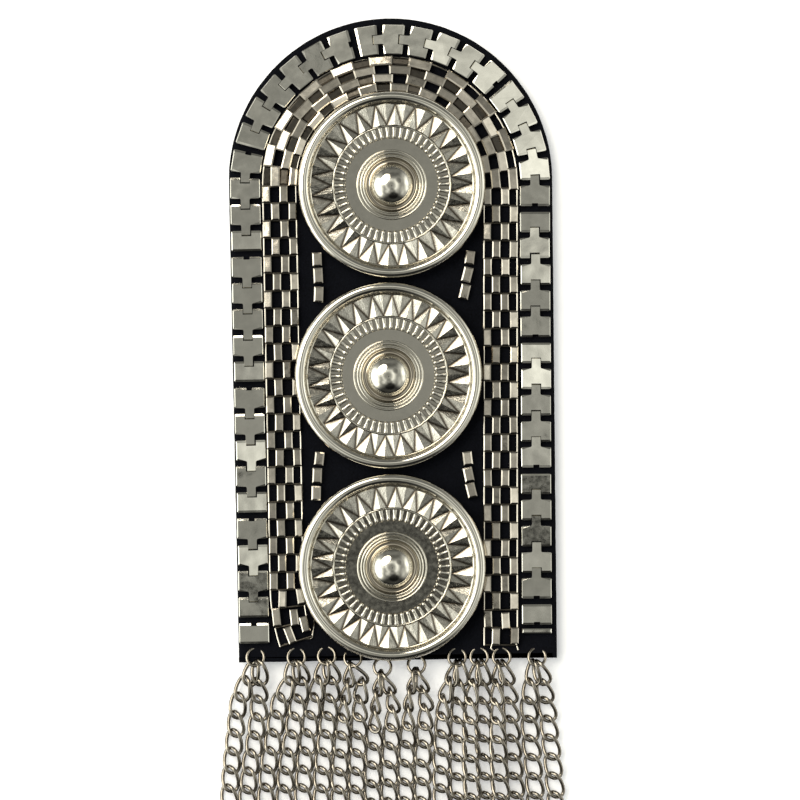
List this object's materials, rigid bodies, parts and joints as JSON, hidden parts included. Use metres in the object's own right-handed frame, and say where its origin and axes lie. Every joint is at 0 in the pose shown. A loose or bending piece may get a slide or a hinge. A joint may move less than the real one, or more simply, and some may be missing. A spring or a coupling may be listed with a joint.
{
  "type": "chain-fringed shoulder epaulette",
  "caption": "Flat felt shoulder board with one round end, edged with plate chain and a woven metal band, set with sunburst discs and ending in a fringe of hanging curb chains.",
  "frame": {"origin": "middle of the board's flat back, on the surface that it lies on", "axes": "+X across the board, +Y from the fringe towards the round end, +Z out of the felt's face"},
  "size_m": [0.0802, 0.2199, 0.0083],
  "materials": {
    "felt": "stiff pressed wool felt, matt blue-black",
    "plate_metal": "polished nickel-plated flat links with bevelled edges",
    "brick_metal": "polished nickel-plated folded bricks on cross pins",
    "concho_metal": "polished nickel-plated cast relief, darker in the valleys",
    "bar_metal": "polished nickel-plated bars with rounded backs",
    "wire_metal": "nickel-plated steel wire, slightly dulled"
  },
  "bodies": {
    "root": {"felt_board": "felt", "brick_band": "brick_metal", "concho_top": "concho_metal", "concho_middle": "concho_metal", "concho_bottom": "concho_metal", "plate_run_01": "plate_metal", "plate_run_02": "plate_metal", "plate_run_03": "plate_metal", "plate_run_04": "plate_metal", "plate_run_05": "plate_metal", "plate_run_06": "plate_metal", "plate_run_07": "plate_metal", "plate_run_08": "plate_metal", "plate_run_09": "plate_metal", "plate_run_10": "plate_metal", "plate_run_11": "plate_metal", "plate_run_12": "plate_metal", "bar_upper_left_1": "bar_metal", "bar_upper_left_2": "bar_metal", "bar_upper_left_3": "bar_metal", "bar_upper_right_1": "bar_metal", "bar_upper_right_2": "bar_metal", "bar_upper_right_3": "bar_metal", "bar_lower_left_1": "bar_metal", "bar_lower_left_2": "bar_metal", "bar_lower_left_3": "bar_metal", "bar_lower_right_1": "bar_metal", "bar_lower_right_2": "bar_metal", "bar_lower_right_3": "bar_metal", "jump_ring_01": "wire_metal", "jump_ring_02": "wire_metal", "jump_ring_03": "wire_metal", "jump_ring_04": "wire_metal", "jump_ring_05": "wire_metal", "jump_ring_06": "wire_metal", "jump_ring_07": "wire_metal", "jump_ring_08": "wire_metal", "jump_ring_09": "wire_metal", "jump_ring_10": "wire_metal", "fringe_chain_01": "wire_metal", "fringe_chain_02": "wire_metal", "fringe_chain_03": "wire_metal", "fringe_chain_04": "wire_metal", "fringe_chain_05": "wire_metal", "fringe_chain_06": "wire_metal", "fringe_chain_07": "wire_metal", "fringe_chain_08": "wire_metal", "fringe_chain_09": "wire_metal", "fringe_chain_10": "wire_metal", "fringe_chain_11": "wire_metal", "fringe_chain_12": "wire_metal", "fringe_chain_13": "wire_metal", "fringe_chain_14": "wire_metal", "fringe_chain_15": "wire_metal", "fringe_chain_16": "wire_metal", "fringe_chain_17": "wire_metal", "fringe_chain_18": "wire_metal", "fringe_chain_19": "wire_metal", "fringe_chain_20": "wire_metal"}
  },
  "joints": []
}
